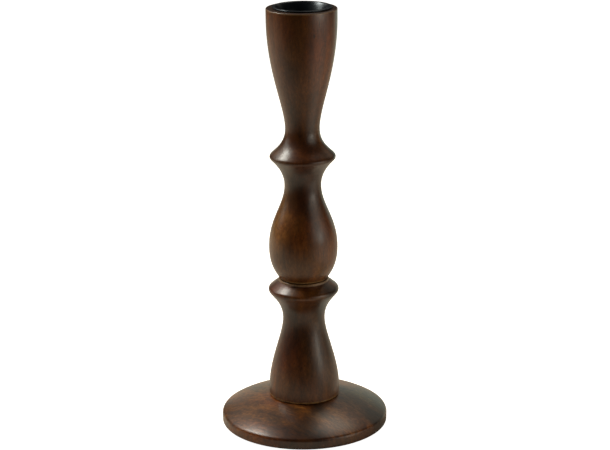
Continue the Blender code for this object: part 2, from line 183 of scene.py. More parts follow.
def joined(*stretches):
    """One outline from several stretches, without the points that repeat at their ends."""
    points = []
    for stretch in stretches:
        for point in stretch:
            if not points or math.dist(point, points[-1]) > SAME_POINT:
                points.append(point)
    return points


def ridge(neck, neck_reach, crest, crest_round, under_angle, under_reach, over_angle):
    """From a neck up a hollow flare to a collar's rounded crest, as far as its upper side."""
    centre = (crest[0] - crest_round, crest[1])
    crest_arc = arc(centre, crest_round, under_angle - 90, 90 - over_angle, SHORT)
    meet = crest_arc[0]
    flare = bend(
        neck, (neck[0], neck[1] + neck_reach),
        toward(meet, 180 + under_angle, under_reach), meet, LONG,
    )
    return joined(flare, crest_arc)


# ---- solids ------------------------------------------------------------------------------


def turned(name, outline, centre, materials, inside=None):
    """A solid of revolution about an upright axis.

    The outline is closed: it runs outward along the underside and back in over the top. Faces
    whose corners all satisfy inside(radius, height) take the second material."""
    mesh = bmesh.new()
    rings = []
    for radius, height in outline:
        count = SIDES if radius > 0 else 1
        angles = (math.tau * i / SIDES for i in range(count))
        corners = ((radius * math.cos(a), radius * math.sin(a), height) for a in angles)
        rings.append([mesh.verts.new(corner) for corner in corners])
    pairs = list(zip(range(len(outline)), range(1, len(outline))))
    if outline[0][0] > 0:
        pairs.append((len(outline) - 1, 0))
    for low, high in pairs:
        slot = int(bool(inside) and inside(*outline[low]) and inside(*outline[high]))
        skin(mesh, rings[low], rings[high], slot)
    bmesh.ops.recalc_face_normals(mesh, faces=mesh.faces)
    bmesh.ops.translate(mesh, verts=mesh.verts, vec=centre)
    data = bpy.data.meshes.new(name)
    mesh.to_mesh(data)
    mesh.free()
    for material in materials:
        data.materials.append(material)
    data.shade_smooth()
    data.set_sharp_from_angle(angle=math.radians(SHARP_ANGLE))
    piece = bpy.data.objects.new(name, data)
    bpy.context.collection.objects.link(piece)
    return piece


def skin(mesh, low, high, slot):
    """Faces between two rings of corners, either of which may be a single point on the axis."""
    for i in range(SIDES):
        j = (i + 1) % SIDES
        corners = [low[i % len(low)], low[j % len(low)], high[j % len(high)], high[i % len(high)]]
        distinct = list(dict.fromkeys(corners))
        if len(distinct) > 2:
            mesh.faces.new(distinct).material_index = slot


def installed(piece, body, node):
    """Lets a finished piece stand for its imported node."""
    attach(piece, body)
    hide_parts(node)


def height_of(node):
    """How tall a node is."""
    low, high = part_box(node)
    return high.z - low.z


def foot_of(node):
    """The point at the bottom of a node, under the middle of its box."""
    low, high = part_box(node)
    return Vector(((low.x + high.x) / 2, 0, low.z))


def radius_of(node):
    """Half the width of a node."""
    low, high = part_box(node)
    return (high.x - low.x) / 2


# ---- shader helpers ----------------------------------------------------------------------


def new_material(name, roughness, metallic=0.0, coat=0.0, coat_roughness=0.1):
    """A material with its shader, whose uniform values are set on the shader's own sockets."""
    material = bpy.data.materials.new(name)
    material.use_nodes = True
    shader = material.node_tree.nodes["Principled BSDF"]
    shader.inputs["Roughness"].default_value = roughness
    shader.inputs["Metallic"].default_value = metallic
    shader.inputs["Coat Weight"].default_value = coat
    shader.inputs["Coat Roughness"].default_value = coat_roughness
    return material, material.node_tree, shader


def add(tree, kind, inputs=None, **settings):
    """Adds a shader node. An input given as a socket is linked, and anything else is its value."""
    node = tree.nodes.new("ShaderNode" + kind)
    for name, value in settings.items():
        setattr(node, name, value)
    for key, value in (inputs or {}).items():
        if isinstance(value, bpy.types.NodeSocket):
            tree.links.new(value, node.inputs[key])
        else:
            node.inputs[key].default_value = value
    return node


def maths(tree, operation, first, second=0.5, third=0.5):
    """One step of arithmetic on sockets or numbers, such as ADD or MULTIPLY_ADD."""
    return add(tree, "Math", {0: first, 1: second, 2: third}, operation=operation).outputs[0]


def centred(tree, value):
    """A pattern from 0 to 1, moved to lie evenly about 0."""
    return maths(tree, "SUBTRACT", value, 0.5)


def split(tree, vector):
    """The X, Y and Z of a vector, as sockets."""
    return add(tree, "SeparateXYZ", {0: vector}).outputs


def noise(tree, place, scale, detail=2.0, roughness=0.5, distortion=0.0):
    """A solid noise from 0 to 1, with scale in features per metre."""
    inputs = {
        "Vector": place, "Scale": scale, "Detail": detail,
        "Roughness": roughness, "Distortion": distortion,
    }
    return add(tree, "TexNoise", inputs).outputs["Fac"]


def between(tree, value, low, high, to_low=0.0, to_high=1.0):
    """Maps low..high of a value onto another range, smoothly and without passing its ends."""
    inputs = {"Value": value, 1: low, 2: high, 3: to_low, 4: to_high}
    return add(tree, "MapRange", inputs, interpolation_type="SMOOTHSTEP").outputs["Result"]


def stretched(tree, place, scale, rotation=(0, 0, 0), location=(0, 0, 0)):
    """A place scaled, turned and moved, so that a pattern read there comes out drawn out."""
    inputs = {"Vector": place, "Scale": scale, "Rotation": rotation, "Location": location}
    return add(tree, "Mapping", inputs).outputs["Vector"]


def colour_value(value):
    """A colour as an input takes it: a socket as it is, or three numbers made opaque."""
    if isinstance(value, bpy.types.NodeSocket):
        return value
    return (*value, 1.0)


def mixed(tree, share, first, second, blend_type="MIX"):
    """Mixes two colours, each a socket or three numbers."""
    inputs = {0: share, 6: colour_value(first), 7: colour_value(second)}
    return add(tree, "Mix", inputs, data_type="RGBA", blend_type=blend_type).outputs[2]


def tinted(tree, colour, tint):
    """A colour multiplied by another."""
    return mixed(tree, 1.0, colour, tint, "MULTIPLY")


def raised(tree, shader, relief, strength, depth):
    """Gives a surface a fine relief, whose full height is the depth."""
    bump = add(tree, "Bump", {"Strength": strength, "Distance": depth, "Height": relief})
    tree.links.new(bump.outputs["Normal"], shader.inputs["Normal"])


# ---- materials ---------------------------------------------------------------------------


# Colours are linear red, green and blue. The stained wood runs from dark to light with its tone.
WOOD_DARK = (0.040, 0.0105, 0.0016)
WOOD_MIDDLE = (0.112, 0.0325, 0.0048)
WOOD_LIGHT = (0.230, 0.0750, 0.0140)
# The pale tan along the edges: rubbed wear, and a painted highlight of the light those edges catch.
WOOD_RUBBED_AND_HIGHLIT = (0.330, 0.1900, 0.0750)
WOOD_REDDER = (1.04, 0.93, 0.88)
WOOD_GREENER = (0.97, 1.09, 1.06)
PORE_COLOUR = (0.010, 0.0040, 0.0015)
BORE_DARK = (0.010, 0.0040, 0.0020)
BORE_LIGHT = (0.045, 0.019, 0.010)
ENAMEL_DARK = (0.004, 0.0055, 0.0085)
ENAMEL_LIGHT = (0.008, 0.010, 0.014)
ENAMEL_SHINE = (0.80, 0.90, 1.0, 1.0)
BEECH_DARK = (0.47, 0.29, 0.16)
BEECH_LIGHT = (0.62, 0.41, 0.24)
BEECH_FLECK = (0.30, 0.16, 0.08)
ZINC_DARK = (0.50, 0.50, 0.49)
ZINC_LIGHT = (0.68, 0.69, 0.70)
FELT_DARK = (0.006, 0.006, 0.006)
FELT_LIGHT = (0.040, 0.038, 0.036)

# Lacquer over the stain, and the wood below it, which is rougher along its fibres and at its
# end grain than where it is smoothest.
LACQUER = 0.36
LACQUER_ROUGHNESS = 0.27
WOOD_SHINE = 0.40
WOOD_ROUGHNESS = 0.38
WOOD_SMOOTHEST = 0.30
FIBRE_ROUGHNESS = 0.14
END_GRAIN_ROUGHNESS = 0.25
END_GRAIN_DARKNESS = 0.55

# How much each pattern of the wood raises its surface. Turning marks run round the axis.
WOOD_RELIEF = 0.08 * MM
RELIEF_OF_PORES = -0.8
RELIEF_OF_FIBRES = 0.45
RELIEF_OF_TURNING = 0.50
ROUND_THE_AXIS = (0.03, 0.03, 1)

# How much each pattern of the wood moves its tone. A figured piece has weaker streaks and
# stronger grit and curls.
TONE_OF_CLOUDS = 0.80
TONE_OF_RINGS = 0.07
TONE_OF_FIBRES = 0.24
TONE_OF_STREAKS = 0.38
TONE_OF_GRIT = 0.20
STREAKS_LOST_TO_FIGURE = 0.15
GRIT_FROM_FIGURE = 0.55
TONE_DARKEST = 0.21
TONE_LIGHTEST = 0.91
GRAIN_WANDER = 0.014
PORE_DARKNESS = 0.6

# How light the wood is by height is listed from the ground up to this height, in metres: the
# stain, and in the stems painted shade in the necks and under the collars.
DEPTH_SPAN = 0.25

# Heights count for half, so that a spot is twice as tall as it is wide. Its edge wanders with the
# clouds. A spot, or an edge lightened by rubbed wear and a painted highlight, has its full
# strength within its core, a share of its reach.
SPOT_HEIGHTS = 0.5
SPOT_WANDER = 0.8
SPOT_CORE = 0.3
RUBBED_AND_HIGHLIT_CORE = 0.2


def growth_rings(tree, place, pith):
    """Growth rings round the pith, a little uneven."""
    inputs = {
        "Vector": stretched(tree, place, (1, 1, 0.06), location=pith),
        "Scale": 52.0, "Distortion": 5.0, "Detail": 3.0, "Detail Scale": 0.6,
    }
    settings = {"wave_type": "RINGS", "rings_direction": "Z", "wave_profile": "SIN"}
    return add(tree, "TexWave", inputs, **settings).outputs["Fac"]


def open_pores(tree, place, streaks):
    """Short open pores, which gather in the paler streaks."""
    inputs = {"Vector": stretched(tree, place, (1, 1, 0.07)), "Scale": 900.0}
    cells = add(tree, "TexVoronoi", inputs, feature="F1").outputs["Distance"]
    holes = between(tree, cells, 0.24, 0.12)
    return maths(tree, "MULTIPLY", holes, between(tree, streaks, 0.42, 0.60))


def wood_patterns(tree, grain, pith):
    """The patterns of the wood, by name. Most are noise drawn out along the grain."""
    drift = noise(tree, stretched(tree, grain, (1, 1, 0.3)), scale=22.0)
    lean = maths(tree, "MULTIPLY", centred(tree, drift), GRAIN_WANDER)
    wavy = add(tree, "VectorMath", {0: grain, 1: lean}, operation="ADD").outputs[0]

    def drawn_out(squeeze, **settings):
        return noise(tree, stretched(tree, wavy, (1, 1, squeeze)), **settings)

    streaks = drawn_out(0.060, scale=300.0, detail=3.0, roughness=0.6)
    return {
        "rings": growth_rings(tree, wavy, pith),
        "streaks": streaks,
        "pores": open_pores(tree, wavy, streaks),
        "fibres": drawn_out(0.040, scale=1000.0, detail=4.0, roughness=0.70),
        "clouds": drawn_out(0.40, scale=45.0, detail=3.0, roughness=0.6),
        "grit": drawn_out(0.5, scale=900.0, roughness=0.7),
        "curls": drawn_out(0.42, scale=210.0, detail=4.0, roughness=0.70, distortion=1.4),
    }


def wood_colour(tree, grain, patterns, figure):
    """The plain wood's colour: the patterns' tones added up, over patches of two hues."""
    layers = (
        (centred(tree, patterns["streaks"]), TONE_OF_STREAKS - STREAKS_LOST_TO_FIGURE * figure),
        (patterns["fibres"], TONE_OF_FIBRES),
        (centred(tree, patterns["grit"]), TONE_OF_GRIT + GRIT_FROM_FIGURE * figure),
        (centred(tree, patterns["curls"]), figure),
    )
    tone = maths(tree, "MULTIPLY", patterns["rings"], TONE_OF_RINGS)
    tone = maths(tree, "MULTIPLY_ADD", patterns["clouds"], TONE_OF_CLOUDS, tone)
    for pattern, share in layers:
        tone = maths(tree, "MULTIPLY_ADD", pattern, share, tone)
    ramp = add(tree, "ValToRGB", {"Fac": between(tree, tone, TONE_DARKEST, TONE_LIGHTEST)})
    ramp.color_ramp.elements[0].color = (*WOOD_DARK, 1)
    ramp.color_ramp.elements[1].color = (*WOOD_LIGHT, 1)
    ramp.color_ramp.elements.new(0.5).color = (*WOOD_MIDDLE, 1)
    patches = noise(tree, stretched(tree, grain, (1, 1, 0.5)), scale=60.0)
    hue = mixed(tree, between(tree, patches, 0.38, 0.62), WOOD_REDDER, WOOD_GREENER)
    return tinted(tree, ramp.outputs["Color"], hue)


def lightness_by_height(tree, height, depth):
    """How light the wood is at each height, from the stain and from painted shade, from a list of
    (height in millimetres, lightness).
    """
    levels = add(tree, "ValToRGB", {"Fac": maths(tree, "DIVIDE", height, DEPTH_SPAN)})
    elements = levels.color_ramp.elements
    while len(elements) < len(depth):
        elements.new(1.0)
    for element, (level, lightness) in zip(elements, depth):
        element.position = level * MM / DEPTH_SPAN
        element.color = (lightness, lightness, lightness, 1)
    return levels.outputs["Color"]


def spotted(tree, colour, place, clouds, spots):
    """Tints the colour round each spot: a knot, a dark or pale patch of the wood, painted shade or
    a painted highlight.
    """
    for (across, deep, level), reach, tint in spots:
        shift = (-across * MM, -deep * MM, -SPOT_HEIGHTS * level * MM)
        near = stretched(tree, place, (1, 1, SPOT_HEIGHTS), location=shift)
        away = add(tree, "VectorMath", {0: near}, operation="LENGTH").outputs["Value"]
        away = maths(tree, "MULTIPLY_ADD", centred(tree, clouds), SPOT_WANDER * reach * MM, away)
        share = between(tree, away, reach * MM, SPOT_CORE * reach * MM)
        colour = mixed(tree, share, colour, tinted(tree, colour, tint))
    return colour


def worn_and_highlit(tree, colour, height, patterns, rubbed_and_highlit):
    """Lightens the colour round each listed edge, partly rubbed wear and partly a painted highlight
    of the light that the edge catches, more so along some fibres than others.
    """
    wear = maths(tree, "ADD", patterns["streaks"], patterns["fibres"])
    wear = between(tree, wear, 0.70, 1.10, 0.35, 0.85)
    for edge, reach, loss in rubbed_and_highlit:
        away = maths(tree, "ABSOLUTE", maths(tree, "SUBTRACT", height, edge))
        bared = between(tree, away, reach, RUBBED_AND_HIGHLIT_CORE * reach, 0.0, loss)
        colour = mixed(tree, maths(tree, "MULTIPLY", bared, wear), colour, WOOD_RUBBED_AND_HIGHLIT)
    return colour


def stained_wood(name, along, spread, pith, seed, figure, depth, rubbed_and_highlit, spots):
    """Walnut-stained wood under satin lacquer, as a solid pattern cut by the surface.

    along turns the grain to its direction, spread draws it out in the piece's own directions, and
    seed moves it, so that no two pieces match. pith is the middle of the growth rings, beside the
    piece. figure is how strongly the grain curls. depth lists heights above the ground, in
    millimetres, with how light the wood is there, from the stain and, in the stems, from painted
    shade in the necks and under the collars. The list of edges gives heights of edges where the
    stain is lightened, partly by rubbed wear and partly as a painted highlight of the light that
    those edges catch, with its reach above and below and how much is lightened. spots lists places
    and reaches in millimetres, with a tint: knots and patches of the wood, painted shade and
    painted highlights."""
    material, tree, shader = new_material(
        name, WOOD_ROUGHNESS, coat=LACQUER, coat_roughness=LACQUER_ROUGHNESS
    )
    shader.inputs["Specular IOR Level"].default_value = WOOD_SHINE
    surface = add(tree, "TexCoord").outputs
    place = surface["Object"]
    height = split(tree, place)["Z"]
    grain = stretched(tree, place, spread, rotation=along, location=seed)
    facing = stretched(tree, surface["Normal"], (1, 1, 1), rotation=along)
    end_grain = between(tree, maths(tree, "ABSOLUTE", split(tree, facing)["Z"]), 0.80, 0.98)
    patterns = wood_patterns(tree, grain, pith)
    fibres = patterns["fibres"]
    pores = patterns["pores"]

    colour = wood_colour(tree, grain, patterns, figure)
    colour = tinted(tree, colour, lightness_by_height(tree, height, depth))
    colour = mixed(tree, maths(tree, "MULTIPLY", pores, PORE_DARKNESS), colour, PORE_COLOUR)
    colour = spotted(tree, colour, place, patterns["clouds"], spots)
    colour = worn_and_highlit(tree, colour, height, patterns, rubbed_and_highlit)
    dark_end = maths(tree, "MULTIPLY", end_grain, END_GRAIN_DARKNESS)
    colour = mixed(tree, dark_end, colour, WOOD_DARK)
    tree.links.new(colour, shader.inputs["Base Color"])

    rough = maths(tree, "MULTIPLY_ADD", fibres, FIBRE_ROUGHNESS, WOOD_SMOOTHEST)
    rough = maths(tree, "MULTIPLY_ADD", end_grain, END_GRAIN_ROUGHNESS, rough)
    tree.links.new(rough, shader.inputs["Roughness"])
    turning = noise(tree, stretched(tree, place, ROUND_THE_AXIS), scale=1300.0)
    relief = maths(tree, "MULTIPLY", fibres, RELIEF_OF_FIBRES)
    relief = maths(tree, "MULTIPLY_ADD", pores, RELIEF_OF_PORES, relief)
    relief = maths(tree, "MULTIPLY_ADD", turning, RELIEF_OF_TURNING, relief)
    raised(tree, shader, relief, strength=0.30, depth=WOOD_RELIEF)
    return material


def bored_wood():
    """Wood that is stained but neither sanded nor lacquered: the bores and the wooden mouth."""
    material, tree, shader = new_material("bored_wood", 0.8)
    shader.inputs["Specular IOR Level"].default_value = 0.15
    place = add(tree, "TexCoord").outputs["Object"]
    along = stretched(tree, place, (1, 1, 0.05))
    around = stretched(tree, place, (0.05, 0.05, 1))
    fibres = noise(tree, along, scale=900.0, detail=4.0, roughness=0.7)
    marks = noise(tree, around, scale=1600.0, detail=1.0)
    tree.links.new(mixed(tree, fibres, BORE_DARK, BORE_LIGHT), shader.inputs["Base Color"])
    relief = maths(tree, "MULTIPLY_ADD", marks, 0.5, fibres)
    raised(tree, shader, relief, strength=0.5, depth=0.1 * MM)
    return material


def black_enamel():
    """Black satin paint on sheet steel, with the faint unevenness of a sprayed coat."""
    material, tree, shader = new_material("black_enamel", 0.30)
    shader.inputs["Specular Tint"].default_value = ENAMEL_SHINE
    place = add(tree, "TexCoord").outputs["Object"]
    mottle = noise(tree, place, scale=120.0)
    tree.links.new(mixed(tree, mottle, ENAMEL_DARK, ENAMEL_LIGHT), shader.inputs["Base Color"])
    rough = maths(tree, "MULTIPLY_ADD", mottle, 0.08, 0.25)
    tree.links.new(rough, shader.inputs["Roughness"])
    peel = noise(tree, place, scale=900.0, detail=1.0)
    raised(tree, shader, peel, strength=0.12, depth=0.05 * MM)
    return material


def bare_beech():
    """Pale beech with its short dark flecks, for the hidden dowel."""
    material, tree, shader = new_material("bare_beech", 0.6)
    place = add(tree, "TexCoord").outputs["Object"]
    along = stretched(tree, place, (1, 1, 0.04))
    fibres = noise(tree, along, scale=900.0, detail=4.0, roughness=0.6)
    flecks = noise(tree, stretched(tree, place, (1, 1, 0.3)), scale=1500.0, detail=1.0)
    flecks = between(tree, flecks, 0.62, 0.72)
    wood = mixed(tree, fibres, BEECH_DARK, BEECH_LIGHT)
    colour = mixed(tree, maths(tree, "MULTIPLY", flecks, 0.5), wood, BEECH_FLECK)
    tree.links.new(colour, shader.inputs["Base Color"])
    raised(tree, shader, fibres, strength=0.3, depth=0.05 * MM)
    return material


def zinc_steel():
    """Zinc-plated steel, a little cloudy."""
    material, tree, shader = new_material("zinc_steel_plated", 0.3, metallic=1.0)
    place = add(tree, "TexCoord").outputs["Object"]
    mottle = noise(tree, place, scale=500.0, detail=3.0)
    tree.links.new(mixed(tree, mottle, ZINC_DARK, ZINC_LIGHT), shader.inputs["Base Color"])
    rough = maths(tree, "MULTIPLY_ADD", mottle, 0.25, 0.22)
    tree.links.new(rough, shader.inputs["Roughness"])
    return material


def black_felt():
    """Pressed felt: short tangled fibres with a soft bloom."""
    material, tree, shader = new_material("pressed_felt", 0.95)
    shader.inputs["Sheen Weight"].default_value = 0.3
    place = add(tree, "TexCoord").outputs["Object"]
    tangle = noise(tree, place, scale=2600.0, detail=4.0, roughness=0.7, distortion=1.5)
    clumps = noise(tree, place, scale=260.0)
    shade = maths(tree, "MULTIPLY_ADD", clumps, 0.4, maths(tree, "MULTIPLY", tangle, 0.6))
    tree.links.new(mixed(tree, shade, FELT_DARK, FELT_LIGHT), shader.inputs["Base Color"])
    raised(tree, shader, shade, strength=0.8, depth=0.15 * MM)
    return material


# ---- the woods of the three turnings -----------------------------------------------------


# The stem's grain stands upright. The base's lies flat, this many degrees round from +X.
BASE_GRAIN = -32
UPRIGHT = (0, 0, 0)
LYING = (math.radians(-90), math.radians(90 - BASE_GRAIN), 0)

# The stain, with painted shade in the stems' necks and under their collars, as (height above
# the ground in millimetres, how light it is there).
UPPER_STAIN_AND_SHADE = (
    (92, 1.00), (112, 1.05), (134, 0.66), (147, 0.46), (160, 0.46),
    (166, 0.68), (190, 0.95), (230, 1.00), (248.4, 1.00), (249.4, 0.60),
)
LOWER_STAIN_AND_SHADE = ((20, 0.78), (45, 0.55), (58, 0.42), (80, 0.42), (85, 0.95))
BASE_DEPTH = ((0, 0.9), (5, 1.2), (18, 1.2))

# The spots, as (place in millimetres, reach in millimetres, tint). The front is towards -Y.
UPPER_SPOTS = (
    ((6.9, -18.4, 236.7), 1.1, (0.15, 0.12, 0.10)),  # a small knot on the vase
    ((12, -15, 102), 11, (1.20, 1.30, 1.10)),        # the bulb's right, low down
    ((16, -11, 218), 20, (1.20, 0.95, 0.90)),        # the vase's right
    ((-15, -12, 218), 22, (0.75, 0.72, 0.80)),       # the vase's left
    # Painted highlight: a pale, cool lift on the bulb's upper left stands in for the key's broad
    # sheen.
    ((-14, -9, 130), 14, (1.90, 2.40, 2.90)),        # the bulb's upper left
    ((0, -17, 97), 9, (0.70, 0.70, 0.70)),           # the bulb's front, low down
    ((0, -9, 148), 16, (0.70, 0.62, 0.60)),          # the middle neck
)
LOWER_SPOTS = (
    # Painted shadow: darkens the lower collar's right, over and under its crest, where the bulb
    # shades it.
    ((17, -12, 76), 13, (0.25, 0.28, 0.30)),         # under the collar, right
    ((-19, -12, 45), 20, (1.40, 1.08, 0.80)),        # the flare's left
    # Painted reflection: a pale greyish lift under the collar's front, for light bounced up from
    # the floor.
    ((-2, -20, 74), 9, (2.0, 2.2, 2.0)),             # under the collar, front
    # Painted highlight: a warm lift over the collar's left, standing in for the key light's broad
    # sheen.
    ((-15, -12, 84), 9, (1.8, 1.4, 0.9)),            # over the collar, left
)
BASE_SPOTS = (
    ((-22, -30, 13), 18, (1.25, 1.25, 1.10)),        # the dome's left front
    ((-12, -25, 15), 12, (0.55, 0.60, 0.72)),        # beside the foot, left
    # Painted shade: darkens the base's edge left of the front.
    ((-15, -46, 4), 17, (0.55, 0.52, 0.50)),         # the edge, left of the front
    # Painted shadow: the next two spots darken and cool the dome's right, in the stem's shadow from
    # the key, so that its sheen shows grey.
    ((26, -24, 11), 24, (0.70, 0.82, 0.90)),         # the dome's right front
    ((36, 2, 10), 28, (0.58, 0.76, 0.88)),           # the dome's right
    # Painted shade: a dark patch on the base beside the foot's right, where the foot meets it.
    ((9, -21.5, 18), 6, (0.30, 0.30, 0.30)),         # beside the foot, right
    ((7.5, -29, 15), 9, (0.45, 0.50, 0.60)),         # the dome's front
    # Painted shadow: darkens the right of the base near its edge, in the stem's shadow.
    ((42, -20, 8), 12, (0.30, 0.40, 0.55)),          # near the edge, right
    # Painted shade: a deep darkening of the front of the base's edge.
    ((1, -48, 1), 19, (0.25, 0.24, 0.26)),           # the edge, front
)


def upper_wood():
    """Quiet upright grain, with painted shade in the middle neck and under the upper collar, and
    pale along both end edges from rubbed wear and a painted highlight.
    """
    low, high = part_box("upper_stem")
    return stained_wood(
        "walnut_upper", along=UPRIGHT, spread=(1, 1, 1), pith=(0.055, 0.030, 0),
        seed=(0.13, 0.42, 0.05), figure=0.2, depth=UPPER_STAIN_AND_SHADE, spots=UPPER_SPOTS,
        rubbed_and_highlit=[(low.z + 0.2 * MM, 1.2 * MM, 1.0), (high.z - 0.5 * MM, 0.45 * MM, 0.60)],
    )


def lower_wood():
    """Quiet upright grain, with painted shade in the waist and under the collar, and pale round the
    foot and along the groove from rubbed wear and a painted highlight.
    """
    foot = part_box("lower_stem")[0].z
    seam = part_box("upper_stem")[0].z
    return stained_wood(
        "walnut_lower", along=UPRIGHT, spread=(1, 1, 1), pith=(-0.040, 0.050, 0),
        seed=(0.71, 0.08, 0.33), figure=0.3, depth=LOWER_STAIN_AND_SHADE, spots=LOWER_SPOTS,
        rubbed_and_highlit=[(foot + 0.3 * MM, 1.4 * MM, 1.0), (seam, 2.2 * MM, 0.75)],
    )


def base_wood():
    """Strongly figured grain that lies flat."""
    return stained_wood(
        "walnut_base", along=LYING, spread=(1, 1, 0.35), pith=(0.020, 0.085, 0),
        seed=(0.27, 0.64, 0.91), figure=0.9, depth=BASE_DEPTH, spots=BASE_SPOTS, rubbed_and_highlit=[],
    )


# ---- the pieces --------------------------------------------------------------------------


def build_base(wood, bore):
    """Domed disc with a flat seat for the stem, a screw hole and a counterbore below."""
    height = height_of("base")
    centre = (radius_of("base") - BASE_EDGE_ROUND, BASE_EDGE_HEIGHT)
    edge = arc(centre, BASE_EDGE_ROUND, 0, 90 - BASE_EDGE_SLOPE, SHORT)
    seat = (BASE_SEAT_RADIUS, height)
    dome = bend(
        edge[-1], toward(edge[-1], 180 - BASE_EDGE_SLOPE, BASE_EDGE_REACH),
        toward(seat, -BASE_SEAT_SLOPE, BASE_SEAT_REACH), seat, LONG,
    )
    side = arc((BASE_FOOT_RADIUS - BASE_FOOT_ROUND, BASE_FOOT_ROUND), BASE_FOOT_ROUND, -90, 0)
    outline = joined(
        [(BASE_HOLE_RADIUS, COUNTERBORE_DEPTH), (COUNTERBORE_RADIUS, COUNTERBORE_DEPTH)],
        [(COUNTERBORE_RADIUS, 0)],
        side, edge, dome,
        [(BASE_HOLE_RADIUS, height)],
    )

    def inside(radius, _):
        return radius <= COUNTERBORE_RADIUS

    return turned("base_disc", outline, foot_of("base"), [wood, bore], inside)


def build_lower_stem(wood, bore):
    """Flared foot, neck and ridge collar, with a ledge that the upper stem stands on."""
    height = height_of("lower_stem")
    foot = radius_of("lower_stem")
    dowel_floor = height - DOWEL_HOLE_DEPTH
    neck = (LOWER_NECK_RADIUS, LOWER_NECK_HEIGHT)
    ledge_foot = (LEDGE_RADIUS, height - LEDGE_STEP)
    foot_edge = arc((foot - FOOT_ROUND, FOOT_ROUND), FOOT_ROUND, -90, 0, SHORT)
    flare = swell((foot, FOOT_TOP), FOOT_REACH, LOWER_NECK_REACH_DOWN, neck)
    collar = ridge(
        neck, LOWER_NECK_REACH_UP, (LOWER_RIDGE_RADIUS, LOWER_RIDGE_HEIGHT), LOWER_RIDGE_ROUND,
        LOWER_RIDGE_UNDER_ANGLE, LOWER_RIDGE_UNDER_REACH, LOWER_RIDGE_OVER_ANGLE,
    )
    shoulder = bend(
        collar[-1], toward(collar[-1], 180 - LOWER_RIDGE_OVER_ANGLE, LOWER_RIDGE_OVER_REACH),
        toward(ledge_foot, -SHOULDER_ANGLE, SHOULDER_REACH), ledge_foot, SHORT,
    )
    ledge = arc((LEDGE_RADIUS - LEDGE_ROUND, height - LEDGE_ROUND), LEDGE_ROUND, 0, 90)
    outline = joined(
        [(0, PILOT_DEPTH), (PILOT_RADIUS, PILOT_DEPTH), (PILOT_RADIUS, 0)],
        foot_edge, flare, collar, shoulder, ledge,
        [(DOWEL_HOLE_RADIUS, height), (DOWEL_HOLE_RADIUS, dowel_floor), (0, dowel_floor)],
    )

    def inside(radius, _):
        return radius <= DOWEL_HOLE_RADIUS

    return turned("lower_stem_turning", outline, foot_of("lower_stem"), [wood, bore], inside)


def cup_recess(height, rim_height, cup_depth):
    """The bored top of the upper stem, from its mouth in to the axis, clear of the cup."""
    mouth = (BOWL_RADIUS + CUP_CLEARANCE, height)
    bore = SOCKET_RADIUS + CUP_WALL + CUP_CLEARANCE
    step = (bore, rim_height - BOWL_DEPTH - CUP_CLEARANCE)
    floor = rim_height - cup_depth - CUP_CLEARANCE
    hollow = bend(
        mouth, (mouth[0] - HOLLOW_LEAN, mouth[1] - HOLLOW_REACH_DOWN),
        (bore, step[1] + HOLLOW_REACH_UP), step, SHORT,
    )
    return joined(hollow, [(bore, floor), (0, floor)])


def build_upper_stem(wood, bore):
    """Bulb, neck, ridge collar and vase in one turning, bored at both ends."""
    height = height_of("upper_stem")
    vase_radius = radius_of("upper_stem")
    rim_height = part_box("candle_cup")[1].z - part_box("upper_stem")[0].z
    seam = (SEAM_RADIUS, SEAM_CHAMFER)
    belly = (BULB_RADIUS, BULB_HEIGHT)
    middle_neck = (MIDDLE_NECK_RADIUS, MIDDLE_NECK_HEIGHT)
    vase_neck = (VASE_NECK_RADIUS, VASE_NECK_HEIGHT)
    bulb_base = bend(
        seam, toward(seam, SEAM_ANGLE, SEAM_REACH),
        (BULB_RADIUS, BULB_HEIGHT - BULB_REACH_DOWN), belly, LONG,
    )
    bulb_top = swell(belly, BULB_REACH_UP, MIDDLE_NECK_REACH_DOWN, middle_neck)
    collar = ridge(
        middle_neck, MIDDLE_NECK_REACH_UP, (UPPER_RIDGE_RADIUS, UPPER_RIDGE_HEIGHT),
        UPPER_RIDGE_ROUND, UPPER_RIDGE_UNDER_ANGLE, UPPER_RIDGE_UNDER_REACH, UPPER_RIDGE_OVER_ANGLE,
    )
    flare = bend(
        collar[-1], toward(collar[-1], 180 - UPPER_RIDGE_OVER_ANGLE, UPPER_RIDGE_OVER_REACH),
        (VASE_NECK_RADIUS, VASE_NECK_HEIGHT - VASE_NECK_REACH_DOWN), vase_neck, LONG,
    )
    vase = swell(vase_neck, VASE_NECK_REACH_UP, VASE_REACH, (vase_radius, VASE_HEIGHT))
    lip = arc((vase_radius - LIP_ROUND, height - LIP_ROUND), LIP_ROUND, 0, 90)
    recess = cup_recess(height, rim_height, height_of("candle_cup"))
    outline = joined(
        [(0, DOWEL_HOLE_DEPTH), (DOWEL_HOLE_RADIUS, DOWEL_HOLE_DEPTH), (DOWEL_HOLE_RADIUS, 0)],
        [(SEAM_RADIUS - SEAM_CHAMFER, 0)],
        bulb_base, bulb_top, collar, flare, vase, lip, recess,
    )
    recess_floor = recess[-1][1]

    def inside(radius, level):
        in_dowel_hole = radius <= DOWEL_HOLE_RADIUS and level <= DOWEL_HOLE_DEPTH
        in_recess = radius <= BOWL_RADIUS + CUP_CLEARANCE and level >= recess_floor
        on_mouth = radius <= vase_radius - LIP_ROUND and level >= height - SAME_LEVEL
        return in_dowel_hole or in_recess or on_mouth

    return turned("upper_stem_turning", outline, foot_of("upper_stem"), [wood, bore], inside)


